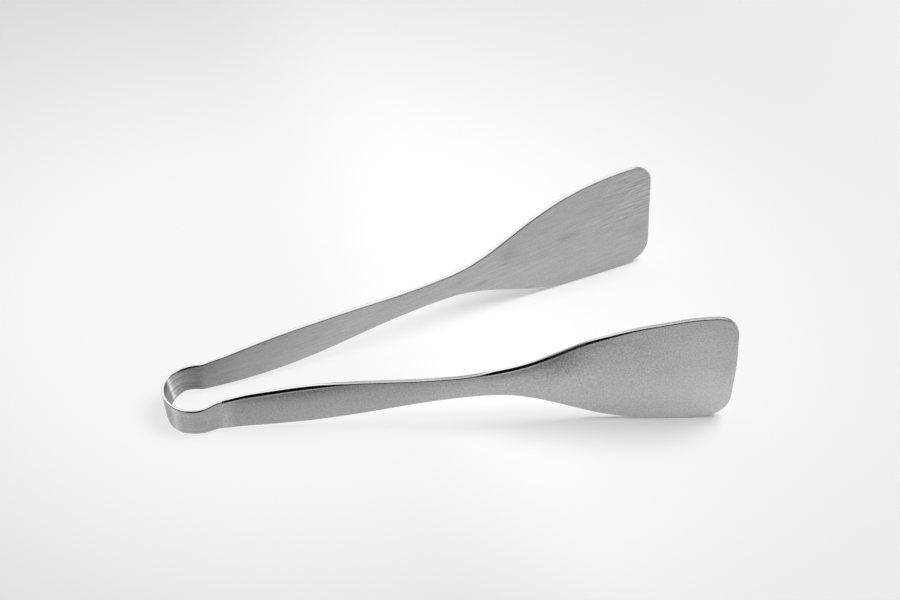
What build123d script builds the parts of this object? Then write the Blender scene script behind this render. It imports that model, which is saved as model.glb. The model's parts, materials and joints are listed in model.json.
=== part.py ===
"""Flat-bladed serving tongs in stainless steel.

A thin spring bow holds two stamped arms apart. Each arm is a handle that narrows to a waist and widens
into a flat spatula blade. A ground weld joins each arm to the bow.

The tongs are built level: X runs from the bow to the blades, Y across the opening, and Z along the width of
the strips, with the mid-plane at Z = 0. Then they are set down on an edge, as they lie on a table, with the
bow's lower edge and both blades' lower edges on Z = 0 and the origin under the middle of the object.
The bow and each arm follow one plan line, their inner face, which starts at the crown of the bow.
"""

import os
from math import atan2, cos, degrees, radians, sin, tan

from build123d import *

# Strip thicknesses
BOW_THICKNESS = 1.3
ARM_THICKNESS = 2.1

# Plan line of the bow, from its crown to the neck: radii in mm and turns in degrees
CROWN_RADIUS = 14.0
CROWN_TURN = 27.0
LOBE_RADIUS = 10.6
NECK_RADIUS = 5.5
NECK_PINCH = 25.0
NECK_SPLAY = 7.5
WELD_LENGTH = 2.5

# Plan line of an arm, from the neck to the tip
HANDLE_BEND_LENGTH = 54.5
HANDLE_BEND_TURN = 2.8
HANDLE_STRAIGHT = 43.6
WAIST_BEND_LENGTH = 32.7
WAIST_BEND_TURN = 2.0
BLADE_STRAIGHT = 48.0
TOE_IN_LENGTH = 39.2
TOE_IN_TURN = 2.8

# Half widths of the bow, along Z. It is welded on a little below the arms' mid-plane.
BOW_HALF_WIDTH = 6.5
BOW_DROP = 0.7
NECK_HALF_WIDTH = 7.2

# Where the bow starts to flare to the neck, as a share of its length, and the slope of its edges there
BOW_FLARE_START = 0.45
BOW_FLARE_SLOPE = 0.08

# Half widths of an arm at stations along it, from its neck over the handle and the waist to the blade
ARM_STATIONS = [
    (0.0, NECK_HALF_WIDTH),
    (13.0, 8.5),
    (31.0, 9.5),
    (55.0, 8.9),
    (83.0, 6.4),
    (105.0, 5.6),
    (122.0, 6.9),
    (140.0, 12.8),
    (159.0, 21.0),
]

# The blade is widest here, and the stations of its upper and lower edges run past its end
BLADE_AT = 200.0
UPPER_BLADE_WIDTH = 27.2
LOWER_BLADE_WIDTH = 28.5
UPPER_BLADE_STATIONS = [(179.0, 25.8), (BLADE_AT, UPPER_BLADE_WIDTH), (223.0, 25.5)]
LOWER_BLADE_STATIONS = [(179.0, 26.3), (BLADE_AT, LOWER_BLADE_WIDTH), (223.0, 28.2)]

# The blade's end: a rounded upper corner, and a lower half that slants back to a rounded corner
UPPER_CORNER_RADIUS = 10.5
LOWER_CORNER_RADIUS = 11.0
SLANT_BLEND_RADIUS = 60.0
SLANT_DEGREES = 5.0

# Rounded edges
OUTER_EDGE_RADIUS = 0.9
INNER_EDGE_RADIUS = 0.5
BOW_EDGE_RADIUS = 0.35

# Nearness within which an edge counts as lying on a face, and the rise of one that stands upright
NEAR = 0.2
UPRIGHT = 0.99

CROWN_ARC = (CROWN_RADIUS, -CROWN_TURN)
LOBE_ARC = (LOBE_RADIUS, -(90 - CROWN_TURN + NECK_PINCH))
NECK_ARC = (NECK_RADIUS, NECK_PINCH + NECK_SPLAY)
BOW_RUNS = [CROWN_ARC, LOBE_ARC, NECK_ARC]
WELD_RUNS = [(WELD_LENGTH, 0)]
ARM_RUNS = [
    (HANDLE_BEND_LENGTH / radians(HANDLE_BEND_TURN), HANDLE_BEND_TURN),
    (HANDLE_STRAIGHT, 0),
    (WAIST_BEND_LENGTH / radians(WAIST_BEND_TURN), WAIST_BEND_TURN),
    (BLADE_STRAIGHT, 0),
    (TOE_IN_LENGTH / radians(TOE_IN_TURN), -TOE_IN_TURN),
]
ARM_LENGTH = HANDLE_BEND_LENGTH + HANDLE_STRAIGHT + WAIST_BEND_LENGTH + BLADE_STRAIGHT + TOE_IN_LENGTH
CUT_HALF_WIDTH = LOWER_BLADE_WIDTH + 10


def along(heading):
    """Unit vector in plan at a heading in degrees from X."""
    return Vector(cos(radians(heading)), sin(radians(heading)))


def trace(point, heading, runs, offset=0.0):
    """Follow runs of (radius, turn) or (length, 0) and return the edges, the end point and its heading.

    The line lies offset outside the inner face, which is on the left of the travel.
    """
    edges = []
    spot = point + along(heading + 90) * offset
    for size, turn in runs:
        if turn == 0:
            edge = Line(spot, spot + along(heading) * size)
        else:
            side = 1 if turn > 0 else -1
            edge = JernArc(spot, along(heading), size - side * offset, turn)
        edges.append(edge)
        spot = edge @ 1
        heading += turn
    return edges, spot - along(heading + 90) * offset, heading


CROWN = Vector(0, 0)
BOW_EDGES, BOW_END, BOW_HEADING = trace(CROWN, 90, BOW_RUNS)
WELD_EDGES, ARM_START, ARM_HEADING = trace(BOW_END, BOW_HEADING, WELD_RUNS)
ARM_EDGES, ARM_TIP, TIP_HEADING = trace(ARM_START, ARM_HEADING, ARM_RUNS)


def strip(point, heading, runs, near, far, half_width):
    """Upright strip along the runs, between the offsets near and far from the inner face."""
    inner, end, end_heading = trace(point, heading, runs, near)
    outer, _, _ = trace(point, heading, runs, far)
    start_cap = Line(inner[0] @ 0, outer[0] @ 0)
    end_cap = Line(inner[-1] @ 1, outer[-1] @ 1)
    plan = make_face([*inner, end_cap, *outer, start_cap])
    return extrude(plan, amount=half_width, both=True)


def bow_profile():
    """Side outline of the bow: a band that flares to the width of the neck, with room past both ends."""
    back = -4 * BOW_THICKNESS
    flare = BOW_END.X * BOW_FLARE_START
    front = BOW_END.X + BOW_THICKNESS
    top = -BOW_DROP + BOW_HALF_WIDTH
    bottom = -BOW_DROP - BOW_HALF_WIDTH
    neck = NECK_HALF_WIDTH
    return make_face(
        [
            Line((back, bottom), (back, top)),
            Line((back, top), (flare, top)),
            Spline((flare, top), (BOW_END.X, neck), tangents=[(1, 0), (1, BOW_FLARE_SLOPE)]),
            Line((BOW_END.X, neck), (front, neck)),
            Line((front, neck), (front, -neck)),
            Line((front, -neck), (BOW_END.X, -neck)),
            Spline((flare, bottom), (BOW_END.X, -neck), tangents=[(1, 0), (1, -BOW_FLARE_SLOPE)]),
            Line((flare, bottom), (back, bottom)),
        ]
    )


def spring_bow():
    """Omega-shaped loop of thin strip that opens the arms."""
    half = strip(CROWN, 90, BOW_RUNS, 0, BOW_THICKNESS, NECK_HALF_WIDTH + 1)
    loop = half + mirror(half, about=Plane.XZ)
    band = extrude(Plane.XZ * bow_profile(), amount=3 * LOBE_RADIUS, both=True)
    loop = loop & band
    rims = [edge for edge in loop.edges() if abs(edge.center().Z + BOW_DROP) > BOW_HALF_WIDTH - NEAR]
    return fillet([edge for edge in rims if edge.length > 2 * BOW_THICKNESS], BOW_EDGE_RADIUS)


def weld():
    """Ground weld seam of the rear arm, thickening from the bow's strip to the arm's."""
    side = along(BOW_HEADING + 90)
    plan = Polyline(
        BOW_END,
        ARM_START,
        ARM_START + side * ARM_THICKNESS,
        BOW_END + side * BOW_THICKNESS,
        close=True,
    )
    seam = extrude(make_face(plan), amount=NECK_HALF_WIDTH, both=True)
    flat_edges = seam.edges().filter_by(Axis.Z, reverse=True)
    return fillet([edge for edge in flat_edges if edge.length > ARM_THICKNESS + NEAR], BOW_EDGE_RADIUS)


def round_corner(face, spot, radius):
    """Round the corner of a flat face that lies nearest to a point."""
    corner = min(face.vertices(), key=lambda vertex: (Vector(vertex) - Vector(*spot)).length)
    return fillet(corner, radius)


def arm_outline():
    """Side outline of an arm in its own plane, X along the arm from the neck."""
    upper = Spline(*ARM_STATIONS, *UPPER_BLADE_STATIONS)
    lower = Spline(*[(x, -z) for x, z in ARM_STATIONS + LOWER_BLADE_STATIONS])
    body = make_face([upper, Line(upper @ 1, lower @ 1), lower, Line(lower @ 0, upper @ 0)])
    slant_foot = ARM_LENGTH - CUT_HALF_WIDTH * tan(radians(SLANT_DEGREES))
    reach = Polyline(
        (-1, CUT_HALF_WIDTH),
        (ARM_LENGTH, CUT_HALF_WIDTH),
        (ARM_LENGTH, 0),
        (slant_foot, -CUT_HALF_WIDTH),
        (-1, -CUT_HALF_WIDTH),
        close=True,
    )
    outline = body & make_face(reach)
    outline = round_corner(outline, (ARM_LENGTH, UPPER_BLADE_WIDTH), UPPER_CORNER_RADIUS)
    outline = round_corner(outline, (ARM_LENGTH, 0), SLANT_BLEND_RADIUS)
    return round_corner(outline, (slant_foot, -LOWER_BLADE_WIDTH), LOWER_CORNER_RADIUS)


def long_rims(sheet, frame, offset):
    """Long edges round the face of an arm at an offset, without its neck end and the seams across it."""
    inner_line = Wire(ARM_EDGES)
    rims = []
    for edge in sheet.edges().filter_by(lambda each: each.length > ARM_THICKNESS + NEAR):
        middle = edge @ 0.5
        upright = abs((edge % 0.5).Z) > UPRIGHT
        crosses_face = upright and frame.to_local_coords(middle).X < BLADE_AT
        away = inner_line.distance_to(Vertex(middle.X, middle.Y, 0))
        if not crosses_face and abs(away - offset) < NEAR:
            rims.append(edge)
    return rims


def arm():
    """Stamped rear arm: handle, waist and blade in one sheet with rounded edges."""
    lean = ARM_TIP - ARM_START
    frame = Plane(origin=ARM_START, x_dir=lean, z_dir=Vector(lean.Y, -lean.X, 0))
    sheet = strip(ARM_START, ARM_HEADING, ARM_RUNS, 0, ARM_THICKNESS, CUT_HALF_WIDTH)
    sheet = sheet & extrude(frame * arm_outline(), amount=6 * ARM_THICKNESS, both=True)
    sheet = fillet(long_rims(sheet, frame, 0), INNER_EDGE_RADIUS)
    return fillet(long_rims(sheet, frame, ARM_THICKNESS), OUTER_EDGE_RADIUS)


def resting_pitch(bow, blade):
    """Angle about Y, in degrees, at which the bow and the blades stand level on their lower edges."""
    pitch = 0.0
    for _ in range(6):
        turn = Rot(Y=-pitch)
        low_bow = (turn * bow).bounding_box().min.Z
        low_blade = (turn * blade).bounding_box().min.Z
        pitch += degrees(atan2(low_bow - low_blade, ARM_TIP.X - LOWER_BLADE_WIDTH))
    return pitch


def tongs():
    """All the pieces, set down on an edge with the origin under their middle."""
    bow = spring_bow()
    rear_arm = arm()
    rear_weld = weld()
    pieces = {
        "spring_bow": bow,
        "rear_arm": rear_arm,
        "rear_weld": rear_weld,
        "front_arm": mirror(rear_arm, about=Plane.XZ),
        "front_weld": mirror(rear_weld, about=Plane.XZ),
    }
    turn = Rot(Y=-resting_pitch(bow, rear_arm))
    box = Compound(children=[turn * piece for piece in pieces.values()]).bounding_box()
    place = Pos(-box.center().X, 0, -box.min.Z) * turn
    return {name: place * piece for name, piece in pieces.items()}, place


def main():
    os.makedirs("parts", exist_ok=True)
    pieces, _ = tongs()
    for name, piece in pieces.items():
        export_step(piece, f"parts/{name}.step")


if __name__ == "__main__":
    main()
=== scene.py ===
"""Looks of the flat-bladed serving tongs: satin stainless steel on a pale floor with a painted glow.

Lengths are millimetres in the level design frame: X from the bow to the blades, Y across the opening, Z
along the width of the strips. A matrix worked out from the frame sets each finished mesh down where the CAD
part lies. A place on a strip is (s, z, t): s along the plan line of the inner face, from the crown on the bow
and from the neck on an arm, z along the strip's width, and t through its thickness from the inner face.
A span is (low, rise, fall, high): nothing below low, full from rise to fall, and nothing above high.
"""

import json
from math import atan2, cos, pi, radians, sin, tan

import bmesh
import bpy
import numpy as np
from mathutils import Matrix, Vector
from mathutils.geometry import delaunay_2d_cdt


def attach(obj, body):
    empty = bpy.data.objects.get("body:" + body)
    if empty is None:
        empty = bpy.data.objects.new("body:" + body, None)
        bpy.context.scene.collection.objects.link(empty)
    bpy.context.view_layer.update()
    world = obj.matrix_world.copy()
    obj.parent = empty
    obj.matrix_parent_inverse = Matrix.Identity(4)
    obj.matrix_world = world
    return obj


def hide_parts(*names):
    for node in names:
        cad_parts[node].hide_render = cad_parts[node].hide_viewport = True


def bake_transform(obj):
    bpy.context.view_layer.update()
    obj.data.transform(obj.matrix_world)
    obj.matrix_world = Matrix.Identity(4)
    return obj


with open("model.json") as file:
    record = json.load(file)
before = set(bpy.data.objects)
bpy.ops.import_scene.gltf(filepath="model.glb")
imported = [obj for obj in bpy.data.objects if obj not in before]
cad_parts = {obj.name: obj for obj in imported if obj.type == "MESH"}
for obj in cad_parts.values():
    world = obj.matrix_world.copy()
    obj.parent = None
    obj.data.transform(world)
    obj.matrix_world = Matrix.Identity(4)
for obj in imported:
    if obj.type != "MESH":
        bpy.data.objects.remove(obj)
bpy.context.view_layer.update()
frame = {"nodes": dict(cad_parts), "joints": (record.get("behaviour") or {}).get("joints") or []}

MM = 0.001

# Strip thicknesses
BOW_THICKNESS = 1.3
ARM_THICKNESS = 2.1

# Plan lines: length and turn in degrees of each run. The CAD bow's runs say where its arms start.
CAD_BOW_RUNS = [
    (14.0 * radians(27.0), -27.0),
    (10.6 * radians(88.0), -88.0),
    (5.5 * radians(32.5), 32.5),
    (2.5, 0.0),
]
ARM_RUNS = [(54.5, 2.8), (43.6, 0.0), (32.7, 2.0), (48.0, 0.0), (39.2, -2.8)]
ARM_LENGTH = sum(length for length, _ in ARM_RUNS)

# The shown bow follows nearly that line with a softer lobe and neck: radius and turn in degrees of each arc
BOW_ARCS = [(14.0, -27.0), (11.0, -40.0), (13.6, -43.5), (8.0, 28.0)]
BOW_RUNS = [(radius * radians(abs(turn)), turn) for radius, turn in BOW_ARCS]
PLAN_LENGTH = sum(length for length, _ in BOW_RUNS)
WELD_LENGTH = 2.3
BOW_LENGTH = PLAN_LENGTH - WELD_LENGTH

# Arms: they are ground thin at the neck and reach their full thickness after this stretch
NECK_GROWTH = 24.0
NECK_THICKNESS = 1.4

# Bent by hand: the bow's lower edge lies further in than its upper one by this share of its width, at places
# along each half from the crown, and the front neck is a little twisted
REAR_LEANS = [(0.0, 0.13), (9.0, 0.22), (11.0, 0.22), (23.0, 0.0)]
FRONT_LEANS = [(0.0, 0.13), (9.0, 0.05), (11.0, 0.05), (23.0, 0.0)]
FRONT_TWIST = 0.06
TWIST_START = 0.4 * PLAN_LENGTH

# The front neck is softer: it stands out this much further, over this span of distances past it
FRONT_NECK_OUT = 0.65
NECK_OUT_SPAN = (-7.0, -1.0, -1.0, 12.0)

# The upper edge of each arm stands this much above that of the CAD arm, at places along it. The rise grows
# from the middle of the arm to RISE_REACH of its half width.
FRONT_RISES = [(98.0, 0.0), (120.0, 1.3), (148.0, 1.3), (166.0, 0.1), (184.0, 0.1), (202.0, 0.9)]
REAR_RISES = [
    (0.0, 0.0),
    (10.0, -0.6),
    (45.0, -0.6),
    (85.0, 0.4),
    (105.0, 0.4),
    (140.0, -0.9),
    (160.0, -0.9),
    (175.0, -0.4),
]
RISE_REACH = 0.9

# The end of the rear blade stands squarer: below the middle it reaches out further by this share of the depth
REAR_SQUARE = 0.09
SQUARE_START = 190.0
SQUARE_END = 215.0

# Half widths of the bow, which sits a little below the arms' mid-plane and flares to the neck
BOW_HALF_WIDTH = 6.5
BOW_DROP = 0.7
NECK_HALF_WIDTH = 7.2
BOW_FLARE_START = 0.45
BOW_FLARE_SLOPE = 0.08

# Half widths of an arm at stations along it, and of the two edges of its blade
ARM_STATIONS = [
    (0.0, NECK_HALF_WIDTH),
    (13.0, 8.5),
    (31.0, 9.5),
    (55.0, 8.9),
    (83.0, 6.4),
    (105.0, 5.6),
    (122.0, 6.9),
    (140.0, 12.8),
    (159.0, 21.0),
]
UPPER_BLADE_STATIONS = [(179.0, 25.8), (200.0, 27.2), (223.0, 25.5)]
LOWER_BLADE_STATIONS = [(179.0, 26.3), (200.0, 28.5), (223.0, 28.2)]
UPPER_CORNER_RADIUS = 10.5
LOWER_CORNER_RADIUS = 11.0
SLANT_BLEND_RADIUS = 60.0
SLANT = radians(5.0)

# Radius of the arms' inner rims, and of the outer rims along the lower edges and along each upper edge. The
# front arm's upper one is rounder by POLISH_RADIUS where it was polished by hand: on the handle, where the
# polish fades over HANDLE_POLISH, and at the blade's root.
INNER_EDGE_RADIUS = 0.32
LOWER_EDGE_RADIUS = 0.6
REAR_EDGE_RADIUS = 0.9
FRONT_EDGE_RADIUS = 0.5
POLISH_RADIUS = 1.15
HANDLE_POLISH = (36.0, 58.0)
ROOT_POLISH = (106.0, 116.0, 145.0, 190.0)

# The least flat width left across an edge beside its outer rim, and beside both rims
FLAT_BESIDE_OUTER = 0.3
FLAT_BETWEEN = 0.1

# Radius of the bow's edges, and how much rounder they are worn over a span of each half
BOW_EDGE_RADIUS = 0.45
BOW_WEAR = 0.35
FRONT_WEAR = (12.0, 14.0, 18.0, 21.0)
REAR_WEAR = (15.0, 18.0, 24.0, 27.0)

# Crown of the arms' outer faces over the handle and over the blade's root, and the facet ground above
# FACET_FROM at the waist: its slope and span
HANDLE_CROWN = 0.7
HANDLE_SPAN = (0.0, 12.0, 80.0, 120.0)
ROOT_CROWN = 1.1
ROOT_SPAN = (90.0, 125.0, 140.0, 195.0)
FACET_SLOPE = 0.13
FACET_FROM = 3.1
FACET_SPAN = (82.0, 92.0, 96.0, 108.0)

# Polish of the rims, from 0 for brushed to 1 for bright, and in part a painted highlight. On the arms it
# grows as the edge turns upwards, which paints the upward-facing rims brighter. The front arm's is weaker
# away from the hand-polished stretches, and duller over a span of the blade's root.
UPWARD_HIGHLIGHT = (0.2, 0.9)
FRONT_POLISH = 0.4
DULL_DEPTH = 0.55
DULL_SPAN = (128.0, 140.0, 150.0, 160.0)
INNER_POLISH = 0.12
BOW_POLISH = 0.75
BOW_POLISH_WIDTH = 0.3

# Reflectance and roughness of a bright rim. Its reflectance, above that of the faces, is in part a
# painted highlight.
RIM_TONE = 0.85
RIM_ROUGHNESS = 0.12

# Reflectance of the brushed faces at places along the arms and along the bow from its crown. The inner
# faces darken towards the neck in painted shade. The bow's bright bands are painted highlights, and its
# darker stretches are painted shade.
# Painted shade: the inner face gets darker towards the neck
REAR_INNER_PAINTED_TONES = [(0.0, 0.29), (20.0, 0.38), (60.0, 0.44), (218.0, 0.445)]
REAR_OUTER_TONES = [(0.0, 0.39), (20.0, 0.40), (60.0, 0.44), (218.0, 0.445)]
# Painted shade: the inner face gets darker towards the neck
FRONT_INNER_PAINTED_TONES = [(0.0, 0.28), (20.0, 0.35), (60.0, 0.40), (218.0, 0.43)]
FRONT_OUTER_TONES = [(0.0, 0.39), (7.0, 0.30), (60.0, 0.33), (110.0, 0.385), (150.0, 0.415), (218.0, 0.43)]
# Painted highlight: the bright band near 10 mm from the crown, with painted shade around it
BOW_INNER_PAINTED_TONES = [
    (0.0, 0.24),
    (8.0, 0.30),
    (10.2, 0.93),
    (11.7, 0.53),
    (13.5, 0.42),
    (19.0, 0.28),
    (24.0, 0.22),
    (29.0, 0.28),
]
# Painted highlight: the bright band near 8 mm from the crown
BOW_OUTER_PAINTED_TONES = [(0.0, 0.40), (5.0, 0.42), (8.3, 0.66), (11.5, 0.44), (17.0, 0.40), (29.0, 0.40)]

# Soft patches and specks: place along and across the strip, half length, half width and how much darker.
# On the front arm the broad patches over the upper side are painted shade, and those with a negative
# depth, which are lighter, are painted light.
REAR_DARK_PATCHES = [
    (146.0, 6.0, 8.0, 7.0, 0.16),
    (175.5, 1.8, 9.0, 3.5, 0.18),
    (131.2, -5.0, 6.0, 2.5, 0.20),
    (118.6, 0.3, 6.0, 2.0, 0.15),
    (211.0, -10.0, 8.0, 7.0, 0.12),
    (174.0, 18.8, 0.6, 0.6, 0.35),
    (27.0, 8.0, 1.5, 0.7, 0.35),
]
# Painted shade in the broad darker patches over the upper side, painted light in the lighter ones
FRONT_PAINTED_LIGHT_AND_SPECKS = [
    (102.0, 7.2, 15.0, 3.6, 0.42),
    (139.0, 12.0, 24.0, 13.0, 0.46),
    (152.0, 20.0, 22.0, 8.0, 0.26),
    (35.0, 9.5, 44.0, 9.0, 0.40),
    (119.6, -4.3, 0.6, 0.6, 0.7),
    (214.0, -3.0, 4.0, 12.0, 0.06),
    (203.0, 14.0, 32.0, 16.0, -0.13),
    (190.0, -27.0, 32.0, 8.0, -0.15),
    (120.0, -6.0, 14.0, 4.0, -0.10),
]

# Mesh fineness: spacing along outlines, in their corners, over broad faces and along the bow, and how far the
# points inside a face stay from its ring
OUTLINE_STEP = 1.2
CORNER_STEP = 0.6 * OUTLINE_STEP
FACE_STEP = 1.3
RING_GAP = 0.6 * FACE_STEP
BOW_STEP = 0.35

# Steps in a rounded edge, a corner, each straight stretch of the tip, its soft bend and a weld, and the steps
# over which a rim's polish sets in
ARC_STEPS = 5
LEAST_CORNER_STEPS = 4
TIP_STEPS = 12
BEND_STEPS = 4
WELD_STEPS = 8
POLISH_STEPS = 2

# Angle in degrees from which an edge is shaded sharp, how close together two points count as one, and how
# often the search for a corner's place is halved
SHARP_ANGLE = 50.0
MERGE_DISTANCE = 1e-5
HALVINGS = 50


# ---------------------------------------------------------------- plan line and frame


def soft_step(value, low, high):
    """0 below low, 1 above high, and a smooth rise between."""
    share = min(1.0, max(0.0, (value - low) / (high - low)))
    return share * share * (3 - 2 * share)


def stepped(stations, value):
    """Goes smoothly through (place, level) stations and stays level beyond them."""
    level = stations[0][1]
    for (low, before), (high, after) in zip(stations, stations[1:]):
        level += (after - before) * soft_step(value, low, high)
    return level


def bump(value, span):
    """Rises smoothly to 1 over the first part of a span and falls back over its last."""
    low, rise, fall, high = span
    return soft_step(value, low, rise) * (1 - soft_step(value, fall, high))


def walk(runs, s, x=0.0, y=0.0, heading=pi / 2):
    """Point at a distance along runs that start at x, y and a heading, and the heading there in radians."""
    for length, turn in runs:
        step = min(s, length)
        bend = radians(turn) / length
        ahead = heading + bend * step
        if bend:
            x += (sin(ahead) - sin(heading)) / bend
            y -= (cos(ahead) - cos(heading)) / bend
        else:
            x += cos(heading) * step
            y += sin(heading) * step
        heading = ahead
        s -= step
        if s <= 0:
            break
    return x, y, heading


CAD_NECK = walk(CAD_BOW_RUNS, sum(length for length, _ in CAD_BOW_RUNS))
SHOWN_NECK = walk(BOW_RUNS, PLAN_LENGTH)
BOW_SHIFT = CAD_NECK[0] - SHOWN_NECK[0]
NECK_STEP = (SHOWN_NECK[1] - CAD_NECK[1]) / cos(CAD_NECK[2])


def neck_out(past):
    """How far out a place of the front half moves, at a distance past its neck, negative on the bow."""
    return FRONT_NECK_OUT * bump(past, NECK_OUT_SPAN)


def on_arm(s, z, t, front):
    """Level-frame point of a place on an arm, as if it were on the rear side."""
    if not front:
        s += REAR_SQUARE * max(0.0, -z) * soft_step(s, SQUARE_START, SQUARE_END)
    x, y, heading = walk(ARM_RUNS, s, *CAD_NECK)
    if front:
        t += neck_out(s) - FRONT_TWIST * z * (1 - soft_step(s, 0, NECK_GROWTH))
    z += stepped(FRONT_RISES if front else REAR_RISES, s) * soft_step(z, 0, RISE_REACH * UPPER(s))
    return Vector((x - sin(heading) * t, y + cos(heading) * t, z))


def on_bow(s, z, t, front):
    """Level-frame point of a place on a half of the bow or its weld, as if it were on the rear side."""
    x, y, heading = walk(BOW_RUNS, s)
    x += BOW_SHIFT * soft_step(s, 0, PLAN_LENGTH)
    if front:
        t += neck_out(s - PLAN_LENGTH) - FRONT_TWIST * z * soft_step(s, TWIST_START, PLAN_LENGTH)
    lean = stepped(FRONT_LEANS if front else REAR_LEANS, s)
    x += lean * (BOW_HALF_WIDTH - BOW_DROP - z)
    return Vector((x - sin(heading) * t, y + cos(heading) * t, z))


def level_to_row():
    """Matrix from the level design frame in millimetres to the row frame in metres."""
    axis = Vector(frame["joints"][0]["axis"])
    turn = Matrix.Rotation(-atan2(-axis.x, axis.z), 4, "Y")
    level = [turn.inverted() @ vertex.co for vertex in frame["nodes"]["spring_bow"].data.vertices]
    back = min(point.x for point in level)
    middle = (min(point.z for point in level) + max(point.z for point in level)) / 2
    shift = Vector((back + BOW_THICKNESS * MM, 0, middle))
    return turn @ Matrix.Translation(shift) @ Matrix.Scale(MM, 4)


TO_ROW = level_to_row()


# ---------------------------------------------------------------- mesh building


def smooth_curve(stations):
    """Natural cubic curve through (x, value) stations, as functions for the value and the slope at x."""
    xs, ys = (np.array(each, float) for each in zip(*stations))
    gaps = np.diff(xs)
    count = len(xs)
    system = np.eye(count)
    target = np.zeros(count)
    for i in range(1, count - 1):
        system[i, i - 1 : i + 2] = gaps[i - 1], 2 * (gaps[i - 1] + gaps[i]), gaps[i]
        target[i] = 6 * ((ys[i + 1] - ys[i]) / gaps[i] - (ys[i] - ys[i - 1]) / gaps[i - 1])
    bends = np.linalg.solve(system, target)

    def span(x):
        i = int(np.clip(np.searchsorted(xs, x) - 1, 0, count - 2))
        return i, gaps[i], (xs[i + 1] - x) / gaps[i], (x - xs[i]) / gaps[i]

    def value(x):
        i, gap, a, b = span(x)
        cubic = (a**3 - a) * bends[i] + (b**3 - b) * bends[i + 1]
        return float(a * ys[i] + b * ys[i + 1] + cubic * gap**2 / 6)

    def slope(x):
        i, gap, a, b = span(x)
        cubic = (3 * b**2 - 1) * bends[i + 1] - (3 * a**2 - 1) * bends[i]
        return float((ys[i + 1] - ys[i]) / gap + cubic * gap / 6)

    return value, slope


UPPER, UPPER_SLOPE = smooth_curve(ARM_STATIONS + UPPER_BLADE_STATIONS)
LOWER, LOWER_SLOPE = smooth_curve([(x, -z) for x, z in ARM_STATIONS + LOWER_BLADE_STATIONS])


def corner_arc(value, slope, side, end_normal, radius):
    """Arc between a long edge and the end line through (ARM_LENGTH, 0), and where along the edge it starts.

    The arc is points and inward normals, from the edge on. side is 1 for the upper edge and -1 for the lower
    one, and end_normal points out of the end line.
    """
    tip = Vector((ARM_LENGTH, 0))

    def centre_at(x):
        inward = side * Vector((slope(x), -1)).normalized()
        return Vector((x, value(x))) + inward * radius, inward

    low, high = ARM_LENGTH - 4 * radius, ARM_LENGTH
    for _ in range(HALVINGS):
        x = (low + high) / 2
        centre, _ = centre_at(x)
        if (centre - tip).dot(end_normal) < -radius:
            low = x
        else:
            high = x
    centre, inward = centre_at(x)
    start = atan2(-inward.y, -inward.x)
    turn = atan2(end_normal.y, end_normal.x) - start
    steps = max(LEAST_CORNER_STEPS, round(abs(turn) * radius / CORNER_STEP))
    arc = []
    for i in range(steps + 1):
        out = Vector((cos(start + turn * i / steps), sin(start + turn * i / steps)))
        arc.append((centre + out * radius, -out))
    return arc, x


def arm_outline():
    """Open outline of an arm and its inward normals, from the neck's lower corner round to the upper one."""
    slant_normal = Vector((cos(SLANT), -sin(SLANT)))
    lower_arc, lower_end = corner_arc(LOWER, LOWER_SLOPE, -1, slant_normal, LOWER_CORNER_RADIUS)
    upper_arc, upper_end = corner_arc(UPPER, UPPER_SLOPE, 1, Vector((1, 0)), UPPER_CORNER_RADIUS)
    outline = []
    count = round(lower_end / OUTLINE_STEP)
    for i in range(count):
        x = lower_end * i / count
        outline.append((Vector((x, LOWER(x))), Vector((-LOWER_SLOPE(x), 1)).normalized()))
    outline += lower_arc
    outline += tip_line(lower_arc[-1][0], upper_arc[-1][0], slant_normal)
    outline += upper_arc[::-1]
    count = round(upper_end / OUTLINE_STEP)
    for i in range(count - 1, -1, -1):
        x = upper_end * i / count
        outline.append((Vector((x, UPPER(x))), Vector((UPPER_SLOPE(x), -1)).normalized()))
    outline[0] = (outline[0][0], Vector((0, 1)))
    outline[-1] = (outline[-1][0], Vector((0, -1)))
    return outline


def tip_line(start, end, slant_normal):
    """The blade's end between its corners: slanted below the middle, then a soft bend, then upright."""
    reach = SLANT_BLEND_RADIUS * tan(SLANT / 2)
    tip = Vector((ARM_LENGTH, 0))
    slant_top = tip - Vector((sin(SLANT), cos(SLANT))) * reach
    points = [(start.lerp(slant_top, i / TIP_STEPS), -slant_normal) for i in range(1, TIP_STEPS)]
    centre = Vector((ARM_LENGTH - SLANT_BLEND_RADIUS, reach))
    for i in range(BEND_STEPS + 1):
        turn = SLANT * (1 - i / BEND_STEPS)
        out = Vector((cos(turn), -sin(turn)))
        points.append((centre + out * SLANT_BLEND_RADIUS, -out))
    straight_start = Vector((ARM_LENGTH, reach))
    return points + [(straight_start.lerp(end, i / TIP_STEPS), Vector((-1, 0))) for i in range(1, TIP_STEPS)]


def hand_polish(x):
    """How far the upper edge of the front arm was polished round: on the handle and at the blade's root."""
    return max(1 - soft_step(x, *HANDLE_POLISH), bump(x, ROOT_POLISH))


def outer_radius(x, z, front):
    """Radius of an arm's outer rim."""
    if z < 0:
        return LOWER_EDGE_RADIUS
    return FRONT_EDGE_RADIUS + POLISH_RADIUS * hand_polish(x) if front else REAR_EDGE_RADIUS


def belly(x, z):
    """How far an arm's outer face stands out beyond its rim, less the facet at the waist."""
    half = UPPER(x) if z > 0 else -LOWER(x)
    across = max(0.0, 1 - (z / half) ** 2)
    crown = HANDLE_CROWN * bump(x, HANDLE_SPAN) + ROOT_CROWN * bump(x, ROOT_SPAN)
    return crown * across - bump(x, FACET_SPAN) * max(0.0, z - FACET_FROM) * FACET_SLOPE


def inner_face(x):
    """Offset of an arm's inner face from the plan line: NECK_STEP at the neck, and none past its growth."""
    return NECK_STEP * (1 - soft_step(x, -NECK_GROWTH, NECK_GROWTH)) * 2


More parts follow.
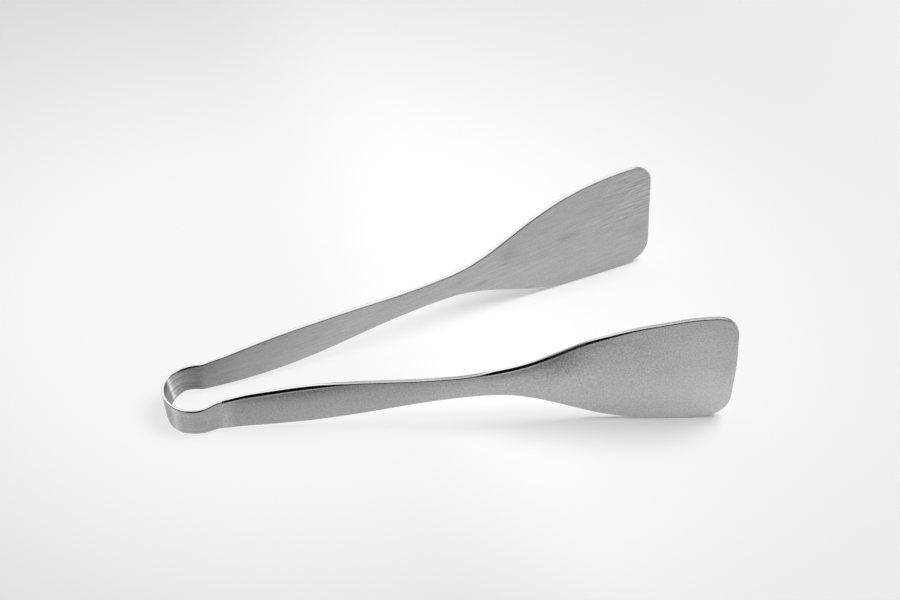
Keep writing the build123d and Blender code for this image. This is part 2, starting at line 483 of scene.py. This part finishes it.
def outer_face(x):
    """Offset of an arm's outer face at its rim."""
    ground = NECK_STEP + NECK_THICKNESS
    return ground + (ARM_THICKNESS - ground) * soft_step(x, 0, NECK_GROWTH)


def rounded_profile(near, far, inner_radius, outer_radius):
    """(inset, t) pairs from the outer face at far round the edge to the inner face at near."""
    outer_radius = min(outer_radius, far - near - FLAT_BESIDE_OUTER)
    inner_radius = min(inner_radius, far - near - outer_radius - FLAT_BETWEEN)
    turns = [pi / 2 * i / ARC_STEPS for i in range(ARC_STEPS + 1)]
    outer = [(outer_radius * (1 - sin(a)), far - outer_radius * (1 - cos(a))) for a in turns]
    inner = [(inner_radius * (1 - cos(a)), near + inner_radius * (1 - sin(a))) for a in turns]
    return outer + inner


def inside(points, loop):
    """Which of the points lie inside a closed loop of points."""
    result = np.zeros(len(points), bool)
    for (x0, y0), (x1, y1) in zip(loop, np.roll(loop, -1, axis=0)):
        crosses = (y0 > points[:, 1]) != (y1 > points[:, 1])
        if y1 != y0:
            result ^= crosses & (points[:, 0] < (x1 - x0) * (points[:, 1] - y0) / (y1 - y0) + x0)
    return result


def face_points(loop):
    """Staggered grid of points well inside a loop, for an even fill of a broad face."""
    low, high = loop.min(0), loop.max(0)
    grid = []
    for i, x in enumerate(np.arange(low[0], high[0], FACE_STEP)):
        grid += [(x, z) for z in np.arange(low[1] + (i % 2) * FACE_STEP / 2, high[1], FACE_STEP)]
    grid = np.array(grid)
    grid = grid[inside(grid, loop)]
    nearest = np.min(np.linalg.norm(grid[:, None] - loop[None], axis=2), axis=1)
    return grid[nearest > RING_GAP]


class Strip:
    """Collects vertices as places on a strip, and faces between them, then becomes an object."""

    def __init__(self, position, front):
        self.position = position
        self.front = front
        self.places = []
        self.rim = []
        self.faces = []

    def add(self, s, z, t, rim=0.0):
        self.places.append((s, z, t))
        self.rim.append(rim)
        return len(self.places) - 1

    def skin(self, rows, closed=False):
        """Quads between neighbouring rows of vertices."""
        for row, after in zip(rows, rows[1:]):
            count = len(row)
            for j in range(count if closed else count - 1):
                k = (j + 1) % count
                self.faces.append((row[j], after[j], after[k], row[k]))

    def build(self, name, material):
        """Mesh object in the row frame. Places on the front half are mirrored."""
        mesh = bpy.data.meshes.new(name)
        side = -1 if self.front else 1
        points = []
        for place in self.places:
            point = self.position(*place, self.front)
            point.y *= side
            points.append(TO_ROW @ point)
        faces = [face[::side] for face in self.faces]
        mesh.from_pydata(points, [], faces)
        strip = mesh.attributes.new("strip", "FLOAT_VECTOR", "POINT")
        strip.data.foreach_set("vector", np.array(self.places, np.float32).ravel())
        rim = mesh.attributes.new("rim", "FLOAT", "POINT")
        rim.data.foreach_set("value", np.array(self.rim, np.float32))
        across = mesh.uv_layers.new(name="across")
        for loop in mesh.loops:
            s, z, _ = self.places[loop.vertex_index]
            across.data[loop.index].uv = (0.5 + z * MM, s * MM)
        mesh.shade_smooth()
        thing = bpy.data.objects.new(name, mesh)
        bpy.context.scene.collection.objects.link(thing)
        work = bmesh.new()
        work.from_mesh(mesh)
        bmesh.ops.recalc_face_normals(work, faces=work.faces)
        for edge in work.edges:
            if edge.is_manifold and edge.calc_face_angle(0) > radians(SHARP_ANGLE):
                edge.smooth = False
        work.to_mesh(mesh)
        work.free()
        weighted = thing.modifiers.new("weighted_normals", "WEIGHTED_NORMAL")
        weighted.keep_sharp = True
        mesh.materials.append(material)
        return thing


def fill(strip, ring, loop, t_at):
    """Fill a face inside a ring of vertices with an even net of triangles."""
    grid = face_points(loop)
    points = [Vector(point) for point in loop] + [Vector(point) for point in grid]
    edges = [(i, (i + 1) % len(loop)) for i in range(len(loop))]
    verts, _, faces, origins, _, _ = delaunay_2d_cdt(points, edges, [], 1, MERGE_DISTANCE)
    index = []
    for vert, origin in zip(verts, origins):
        first = min(origin) if origin else len(loop)
        if first < len(loop):
            index.append(ring[first])
        else:
            index.append(strip.add(vert.x, vert.y, t_at(vert.x, vert.y)))
    strip.faces += [tuple(index[i] for i in face) for face in faces]


def arm(name, front, material):
    """A stamped arm: rims lofted round the outline, and two broad faces with a crowned outer side."""
    strip = Strip(on_arm, front)
    rows = []
    for point, inward in arm_outline():
        radius = outer_radius(point.x, point.y, front)
        near, far = inner_face(point.x), outer_face(point.x)
        # Painted highlight: rims turned upwards are made brighter
        polish = soft_step(-inward.y, *UPWARD_HIGHLIGHT)
        if front:
            dull = DULL_DEPTH * bump(point.x, DULL_SPAN)
            polish *= FRONT_POLISH + (1 - FRONT_POLISH) * hand_polish(point.x) - dull
        row = []
        profile = rounded_profile(near, far, INNER_EDGE_RADIUS, radius)
        for i, (inset, t) in enumerate(profile):
            spot = point + inward * inset
            if i <= ARC_STEPS:
                share = soft_step(i, 0, POLISH_STEPS)
            else:
                share = INNER_POLISH * soft_step(len(profile) - 1 - i, 0, POLISH_STEPS)
            row.append(strip.add(spot.x, spot.y, t, rim=polish * share))
        rows.append(row)
    strip.skin(rows)
    strip.faces.append(tuple(rows[0] + rows[-1][::-1]))
    for column, t_at in (
        (0, lambda x, z: outer_face(x) + belly(x, z)),
        (-1, lambda x, z: inner_face(x)),
    ):
        ring = [row[column] for row in rows]
        loop = np.array([strip.places[i][:2] for i in ring])
        fill(strip, ring, loop, t_at)
    return strip.build(name, material)


def section(half_up, half_down, thickness, near_radius, far_radius):
    """Closed (z, t) section of a strip. Its edges have one radius to the inner face and one to the outer."""
    turns = [pi / 2 * i / ARC_STEPS for i in range(ARC_STEPS + 1)]
    points = []
    for z_side, far in ((1, True), (1, False), (-1, False), (-1, True)):
        radius = far_radius if far else near_radius
        corner_z = half_up - radius if z_side > 0 else radius - half_down
        corner_t = thickness - radius if far else radius
        for a in turns if far == (z_side > 0) else reversed(turns):
            rise, reach = sin(a) * radius, cos(a) * radius
            points.append((corner_z + rise * z_side, corner_t + (reach if far else -reach)))
    return points


def loft(name, front, material, stations):
    """A strip through closed sections at stations along the plan line, capped at both ends."""
    strip = Strip(on_bow, front)
    rows = []
    for s, points in stations:
        high = max(z for z, _ in points) - BOW_POLISH_WIDTH
        low = min(z for z, _ in points) + BOW_POLISH_WIDTH
        rows.append([strip.add(s, z, t, rim=0.0 if low <= z <= high else BOW_POLISH) for z, t in points])
    strip.skin(rows, closed=True)
    strip.faces.append(tuple(rows[0]))
    strip.faces.append(tuple(rows[-1][::-1]))
    return strip.build(name, material)


def bow_widths(s):
    """Half widths of the bow above and below the mid-plane."""
    x, _, _ = walk(BOW_RUNS, s)
    end, _, _ = SHOWN_NECK
    flare_at = end * BOW_FLARE_START
    share = max(0.0, (x - flare_at) / (end - flare_at))
    rise = soft_step(share, 0, 1)
    lift = BOW_FLARE_SLOPE * (end - flare_at) * share * share * (share - 1)
    up = -BOW_DROP + BOW_HALF_WIDTH
    down = BOW_DROP + BOW_HALF_WIDTH
    return up + (NECK_HALF_WIDTH - up) * rise + lift, down + (NECK_HALF_WIDTH - down) * rise + lift


def bow_section(s, front, thickness):
    """Section of the bow or the weld at s. Its outer edges are worn in front, and its inner ones behind."""
    up, down = bow_widths(s)
    near = far = BOW_EDGE_RADIUS
    if front:
        far += BOW_WEAR * bump(s, FRONT_WEAR)
    else:
        near += BOW_WEAR * bump(s, REAR_WEAR)
    return section(up, down, thickness, near, far)


def bow_half(name, front, material):
    """Half of the spring bow, from its crown to the weld."""
    count = round(BOW_LENGTH / BOW_STEP)
    stations = []
    for i in range(count + 1):
        s = BOW_LENGTH * i / count
        stations.append((s, bow_section(s, front, BOW_THICKNESS)))
    return loft(name, front, material, stations)


def weld(name, front, material):
    """Ground weld between the bow and an arm."""
    stations = []
    for i in range(WELD_STEPS + 1):
        share = i / WELD_STEPS
        s = BOW_LENGTH + WELD_LENGTH * share
        thickness = BOW_THICKNESS + (NECK_THICKNESS - BOW_THICKNESS) * share
        stations.append((s, bow_section(s, front, thickness)))
    return loft(name, front, material, stations)


# ---------------------------------------------------------------- materials

# Noise patterns on a strip: frequency per millimetre along, across and through it, detail, and own shift
FINE_MARKS = ((0.15, 3.0, 3.0), 3.0, 0)
LONG_MARKS = ((0.035, 0.9, 0.9), 4.0, 7)
CLOUDS = ((0.05, 0.10, 0.1), 2.0, 19)
MOTTLE = ((1.5, 1.5, 1.5), 4.0, 31)
WRINKLES = ((0.11, 0.9, 0.0), 2.0, 53)

# Depth through the strip over which the inner face's look gives way to the outer face's
OUTWARD_FROM = (0.5, 0.8)

# How strong the clouds are on both faces, and the long marks on the outer one against the inner one
CLOUD_DEPTH = 0.25
OUTER_STREAKS = 0.35

# Distance from the middle of a strip at which the painted difference in lightness between its sides is full
LIGHT_REACH = 20.0

# Painted shade, a darker band on the edges: where it rises and falls through the strip, how dark it is,
# and where along an arm it sets in
EDGE_SHADE_RISE = (0.3, 0.6)
EDGE_SHADE_FALL = (1.6, 2.0)
EDGE_SHADE_DEPTH = 0.3
EDGE_SHADE_ALONG = (60.0, 110.0)

# Wrinkles by the blade's tip: where they set in along and across it, and how sharp their edges are
WRINKLES_ALONG = (188.0, 208.0)
WRINKLES_ACROSS = (-9.0, 3.0)
WRINKLE_EDGE = (0.35, 0.65)

# How much the patterns vary the roughness, and their relief
FINE_MATT = 0.12
CLOUD_MATT = 0.12
MOTTLE_MATT = 0.15
RELIEF_SHARE = 0.5
RELIEF_STRENGTH = 0.25
RELIEF_DEPTH = 0.0002

# Looks for steel()
FRONT_LOOK = {
    "low_light": 0.38,
    "grain": 0.3,
    "speckle": 1.4,
    "streaks": 0.3,
    "ripples": 0.0,
    "roughness": 0.38,
    "spread": 0.5,
    "shift": 40.0,
}
REAR_LOOK = {
    "low_light": 0.05,
    "grain": 0.8,
    "speckle": 0.8,
    "streaks": 0.4,
    "ripples": 0.3,
    "roughness": 0.38,
    "spread": 0.5,
    "shift": 0.0,
}
WELD_LOOK = {
    "low_light": 0.1,
    "grain": 0.5,
    "speckle": 1.2,
    "streaks": 1.2,
    "ripples": 0.0,
    "roughness": 0.36,
    "spread": 0.6,
    "shift": 0.0,
}
BOW_LOOK = {
    "low_light": 0.0,
    "grain": 0.5,
    "speckle": 1.0,
    "streaks": 1.6,
    "ripples": 0.0,
    "roughness": 0.34,
    "spread": 0.7,
    "shift": 0.0,
}


class Nodes:
    """Short hand for building a node tree."""

    def __init__(self, tree):
        self.tree = tree
        tree.nodes.clear()

    def add(self, kind, inputs=None, **settings):
        node = self.tree.nodes.new(kind)
        for key, value in settings.items():
            setattr(node, key, value)
        for key, value in (inputs or {}).items():
            if isinstance(value, bpy.types.NodeSocket):
                self.tree.links.new(value, node.inputs[key])
            else:
                node.inputs[key].default_value = value
        return node

    def math(self, operation, a, b=0.0, c=0.0):
        return self.add("ShaderNodeMath", {0: a, 1: b, 2: c}, operation=operation).outputs[0]

    def remap(self, value, low, high, to_low, to_high):
        inputs = {"Value": value, "From Min": low, "From Max": high, "To Min": to_low, "To Max": to_high}
        return self.add("ShaderNodeMapRange", inputs, interpolation_type="SMOOTHSTEP").outputs[0]

    def noise(self, vector, pattern, shift):
        stretch, detail, own_shift = pattern
        shift += own_shift
        inputs = {"Vector": vector, "Scale": stretch, "Location": (shift, shift, 0)}
        placed = self.add("ShaderNodeMapping", inputs)
        inputs = {"Vector": placed.outputs[0], "Scale": 1.0, "Detail": detail}
        return self.add("ShaderNodeTexNoise", inputs).outputs["Fac"]

    def mix(self, share, first, second):
        return self.add("ShaderNodeMix", {0: share, 2: first, 3: second}, data_type="FLOAT").outputs[0]

    def around_half(self, value, amount):
        """A noise value, moved to lie evenly about 0 and scaled."""
        return self.math("MULTIPLY", self.math("SUBTRACT", value, 0.5), amount)

    def sum(self, *terms):
        total = terms[0]
        for term in terms[1:]:
            total = self.math("ADD", total, term)
        return total


def patch_depth(nodes, place, spot):
    """Depth of one soft patch on the faces, some of them painted shade: deepest at its middle."""
    along, across, length, width, depth = spot
    centre = (-along / length, -across / width, 0)
    inputs = {"Vector": place, "Location": centre, "Scale": (1 / length, 1 / width, 0)}
    placed = nodes.add("ShaderNodeMapping", inputs)
    reach = nodes.add("ShaderNodeVectorMath", {0: placed.outputs[0]}, operation="LENGTH").outputs["Value"]
    return nodes.remap(reach, 0.0, 1.0, depth, 0.0)


def tone_along(nodes, along, tones):
    """Reflectance at a place along a strip, from (place, reflectance) pairs."""
    steps = []
    for (low, before), (high, after) in zip(tones, tones[1:]):
        steps.append(nodes.remap(along, low, high, 0.0, after - before))
    return nodes.sum(*steps, tones[0][1])


def steel(name, inner_tones, outer_tones, patches, look):
    """Satin stainless steel.

    inner_tones and outer_tones are (place along the strip, reflectance) pairs for its two faces, which
    carry the painted shade and painted highlights along the strips. In look, low_light is painted light: how
    much lighter the lower side is than the upper one. grain is the share of fine brushing along the strip,
    speckle that of the fine matt mottle, streaks that of the long faint marks, and ripples that of the
    wrinkles by the blade's tip. roughness is its middle value, spread is how much further the brushing
    throws light across the strip than along it, and shift moves the pattern from piece to piece.
    """
    material = bpy.data.materials.new(name)
    material.use_nodes = True
    nodes = Nodes(material.node_tree)
    place = nodes.add("ShaderNodeAttribute", attribute_name="strip").outputs["Vector"]
    rim = nodes.add("ShaderNodeAttribute", attribute_name="rim").outputs["Fac"]
    parts = nodes.add("ShaderNodeSeparateXYZ", {0: place})
    along, across, depth = parts.outputs
    outward = nodes.remap(depth, *OUTWARD_FROM, 0.0, 1.0)
    face = nodes.math("SUBTRACT", 1.0, rim)
    shift, grain, speckle, streaks = look["shift"], look["grain"], look["speckle"], look["streaks"]
    fine = nodes.noise(place, FINE_MARKS, shift)
    long_marks = nodes.noise(place, LONG_MARKS, shift)
    cloud = nodes.noise(place, CLOUDS, shift)
    mottle = nodes.noise(place, MOTTLE, shift)

    marks = nodes.sum(
        nodes.around_half(fine, grain),
        nodes.around_half(long_marks, nodes.mix(outward, streaks, streaks * OUTER_STREAKS)),
        nodes.around_half(cloud, CLOUD_DEPTH),
        nodes.around_half(mottle, speckle),
        # Painted light: the lower side lighter than the upper one
        nodes.remap(across, -LIGHT_REACH, LIGHT_REACH, look["low_light"], 0.0),
    )
    # Painted shade: a darker band through the edges' thickness, setting in along each arm
    edge_shade = nodes.math(
        "MULTIPLY",
        nodes.remap(depth, *EDGE_SHADE_RISE, 0.0, -EDGE_SHADE_DEPTH),
        nodes.remap(depth, *EDGE_SHADE_FALL, 1.0, 0.0),
    )
    edge_shade = nodes.math("MULTIPLY", edge_shade, nodes.remap(along, *EDGE_SHADE_ALONG, 0.0, 1.0))
    marks = nodes.sum(marks, edge_shade)
    if look["ripples"]:
        wrinkle = nodes.noise(place, WRINKLES, shift)
        strength = nodes.math(
            "MULTIPLY",
            nodes.remap(along, *WRINKLES_ALONG, 0.0, look["ripples"]),
            nodes.remap(across, *WRINKLES_ACROSS, 0.0, 1.0),
        )
        wrinkle = nodes.remap(wrinkle, *WRINKLE_EDGE, -0.5, 0.5)
        marks = nodes.sum(marks, nodes.math("MULTIPLY", wrinkle, strength))
    # Patches and specks; on the front arm these hold painted shade and painted light
    for spot in patches:
        marks = nodes.math("SUBTRACT", marks, patch_depth(nodes, place, spot))
    tone = nodes.mix(outward, tone_along(nodes, along, inner_tones), tone_along(nodes, along, outer_tones))
    level = nodes.math("MULTIPLY_ADD", marks, tone, tone)
    level = nodes.mix(rim, level, RIM_TONE)
    colour = nodes.add("ShaderNodeCombineColor", {0: level, 1: level, 2: level}).outputs[0]
    matt = nodes.sum(
        nodes.around_half(fine, FINE_MATT),
        nodes.around_half(cloud, CLOUD_MATT),
        nodes.around_half(mottle, MOTTLE_MATT),
        look["roughness"],
    )
    rough = nodes.mix(rim, matt, RIM_ROUGHNESS)
    height = nodes.sum(
        nodes.around_half(fine, RELIEF_SHARE * grain),
        nodes.around_half(mottle, RELIEF_SHARE * speckle),
        nodes.around_half(long_marks, streaks),
    )
    height = nodes.math("MULTIPLY", height, face)
    inputs = {"Strength": RELIEF_STRENGTH, "Distance": RELIEF_DEPTH, "Height": height}
    bump_map = nodes.add("ShaderNodeBump", inputs)
    tangent = nodes.add("ShaderNodeTangent", direction_type="UV_MAP", uv_map="across")
    shader = nodes.add(
        "ShaderNodeBsdfPrincipled",
        {
            "Base Color": colour,
            "Metallic": 1.0,
            "Roughness": rough,
            "Anisotropic": look["spread"],
            "Tangent": tangent.outputs[0],
            "Normal": bump_map.outputs[0],
        },
    )
    nodes.add("ShaderNodeOutputMaterial", {"Surface": shader.outputs[0]})
    return material


def floor_material():
    """Matt white floor. Its painted glow hides the shadows by the bow, where it is also a darker surface."""
    material = bpy.data.materials.new("floor_painted_glow")
    material.use_nodes = True
    nodes = Nodes(material.node_tree)
    place = nodes.add("ShaderNodeTexCoord").outputs["Object"]
    side = nodes.add("ShaderNodeSeparateXYZ", {0: place}).outputs[0]
    away = nodes.add("ShaderNodeVectorMath", {0: place, 1: GLOW_CENTRE}, operation="DISTANCE").outputs[1]
    # Painted light: the floor glows in a pool round a centre, and more by the bow
    glow = nodes.remap(away, GLOW_NEAR, GLOW_FAR, GLOW_MIDDLE, 0.0)
    distant = nodes.remap(away, *DISTANT_FROM, 0.0, GLOW_DISTANT)
    base = nodes.remap(side, *BOW_SIDE, TONE_BY_BOW, TONE_BY_BLADES)
    extra = nodes.remap(side, *BOW_SIDE, GLOW_BY_BOW, 0.0)
    colour = nodes.add("ShaderNodeCombineColor", {0: base, 1: base, 2: base}).outputs[0]
    shader = nodes.add(
        "ShaderNodeBsdfPrincipled",
        {
            "Base Color": colour,
            "Roughness": 0.9,
            "Specular IOR Level": 0.1,
            "Emission Color": WHITE,
            "Emission Strength": nodes.sum(glow, distant, extra),
        },
    )
    nodes.add("ShaderNodeOutputMaterial", {"Surface": shader.outputs[0]})
    return material


# ---------------------------------------------------------------- studio

WHITE = (1.0, 1.0, 1.0, 1.0)

# Camera, in the row frame
VIEW_AZIMUTH = radians(-23.65)
VIEW_ELEVATION = radians(41.11)
VIEW_ROLL = radians(7.31)
VIEW_AIM = Vector((25.4, 44.5, 0.0)) * MM
VIEW_DISTANCE = 1716.7 * MM
LENS = 157.24
SENSOR_WIDTH = 36.0

# The floor, in the row frame and in metres. Its glow is painted light: a pool that falls off to nothing
# with distance from a centre, and a paler one that sets in far out. It also glows where x is small, by the
# bow, and reflects less light there, which paints out the shadows by the bow.
GLOW_CENTRE = (-0.06, 0.055, 0.0)
GLOW_NEAR = 0.06
GLOW_FAR = 0.32
GLOW_MIDDLE = 0.28
GLOW_DISTANT = 0.28
DISTANT_FROM = (0.4, 1.2)
BOW_SIDE = (-0.04, 0.045)
GLOW_BY_BOW = 0.47
TONE_BY_BOW = 0.2
TONE_BY_BLADES = 0.8
TABLE_HALF_SIZE = 8.0

# Lamp: where it points, how far it stands from there, its width in metres and its power in watts
LAMP_AIM = Vector((0.04, 0.03, 0))
LAMP_OFFSET = Vector((0.65, -0.11, 1.4))
LAMP_SIZE = 1.1
LAMP_POWER = 21.5

# The room: its light on the floor, its look to the camera, and its strength in the steel, which grows away
# from the photo's viewpoint and with height
ROOM_LIGHT = 0.26
ROOM_SEEN = 0.8
ROOM_IN_STEEL = 1.3
ROOM_AWAY = (0.0, 0.3)
ROOM_HEIGHT = (0.1, 0.6)
ROOM_LOW = 0.2


def view_back():
    """Unit vector from the aim point to the camera."""
    level = cos(VIEW_ELEVATION)
    return Vector((sin(VIEW_AZIMUTH) * level, -cos(VIEW_AZIMUTH) * level, sin(VIEW_ELEVATION)))


def add_camera():
    data = bpy.data.cameras.new("camera")
    data.sensor_width = SENSOR_WIDTH
    data.lens = LENS
    camera = bpy.data.objects.new("camera", data)
    bpy.context.scene.collection.objects.link(camera)
    back = view_back()
    turn = (-back).to_track_quat("-Z", "Y").to_matrix().to_4x4()
    roll = Matrix.Rotation(VIEW_ROLL, 4, "Z")
    camera.matrix_world = Matrix.Translation(VIEW_AIM + back * VIEW_DISTANCE) @ turn @ roll
    bpy.context.scene.camera = camera


def add_floor():
    size = TABLE_HALF_SIZE
    mesh = bpy.data.meshes.new("floor")
    corners = [(-size, -size, 0), (size, -size, 0), (size, size, 0), (-size, size, 0)]
    mesh.from_pydata(corners, [], [(0, 1, 2, 3)])
    floor = bpy.data.objects.new("floor", mesh)
    bpy.context.scene.collection.objects.link(floor)
    mesh.materials.append(floor_material())


def add_lamp():
    """One soft lamp high up on the blades' side. It throws the shadows, and stays out of the steel."""
    data = bpy.data.lights.new("overhead", "AREA")
    data.shape = "DISK"
    data.size = LAMP_SIZE
    data.energy = LAMP_POWER
    lamp = bpy.data.objects.new("overhead", data)
    bpy.context.scene.collection.objects.link(lamp)
    lamp.location = LAMP_AIM + LAMP_OFFSET
    lamp.rotation_mode = "QUATERNION"
    lamp.rotation_quaternion = (-LAMP_OFFSET).to_track_quat("-Z", "Y")
    lamp.visible_glossy = False


def add_world():
    """Pale room. In the steel it is bright beyond the object and dark on the photo's side of it."""
    world = bpy.data.worlds.new("room")
    bpy.context.scene.world = world
    world.use_nodes = True
    nodes = Nodes(world.node_tree)
    way = nodes.add("ShaderNodeTexCoord").outputs["Generated"]
    away = (-sin(VIEW_AZIMUTH), cos(VIEW_AZIMUTH), 0)
    depth = nodes.add("ShaderNodeVectorMath", {0: way, 1: away}, operation="DOT_PRODUCT").outputs["Value"]
    height = nodes.add("ShaderNodeSeparateXYZ", {0: way}).outputs[2]
    beyond = nodes.remap(depth, *ROOM_AWAY, 0.0, ROOM_IN_STEEL)
    mirrored = nodes.math("MULTIPLY", beyond, nodes.remap(height, *ROOM_HEIGHT, ROOM_LOW, 1.0))
    path = nodes.add("ShaderNodeLightPath")
    strength = nodes.mix(path.outputs["Is Glossy Ray"], ROOM_LIGHT, mirrored)
    strength = nodes.mix(path.outputs["Is Camera Ray"], strength, ROOM_SEEN)
    back = nodes.add("ShaderNodeBackground", {"Color": WHITE, "Strength": strength})
    nodes.add("ShaderNodeOutputWorld", {"Surface": back.outputs[0]})


# ---------------------------------------------------------------- the tongs


def make_half(side, front):
    """Arm, weld and half of the bow on one side of the tongs."""
    body = f"{side}_arm"
    if front:
        look = FRONT_INNER_PAINTED_TONES, FRONT_OUTER_TONES, FRONT_PAINTED_LIGHT_AND_SPECKS, FRONT_LOOK
    else:
        look = REAR_INNER_PAINTED_TONES, REAR_OUTER_TONES, REAR_DARK_PATCHES, REAR_LOOK
    arm_steel = steel(f"arm_steel_{side}", *look)
    blade = arm(f"{side}_arm_sheet", front, arm_steel)
    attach(blade, body)
    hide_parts(f"{side}_arm")

    weld_steel = steel(f"ground_weld_{side}", BOW_INNER_PAINTED_TONES, BOW_OUTER_PAINTED_TONES, [], WELD_LOOK)
    seam = weld(f"{side}_ground_weld", front, weld_steel)
    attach(seam, body)
    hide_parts(f"{side}_weld")

    bow_steel = steel(f"bow_steel_{side}", BOW_INNER_PAINTED_TONES, BOW_OUTER_PAINTED_TONES, [], BOW_LOOK)
    spring = bow_half(f"{side}_bow_half", front, bow_steel)
    mirror = Vector((1, -1 if front else 1, 1))
    crown = TO_ROW @ (on_bow(0, 0, 0, front) * mirror)
    neck = TO_ROW @ (on_bow(BOW_LENGTH, 0, 0, front) * mirror)
    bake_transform(spring)
    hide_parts("spring_bow")


add_camera()
add_floor()
add_lamp()
add_world()
bpy.context.scene.view_settings.view_transform = "Standard"
make_half("rear", False)
make_half("front", True)
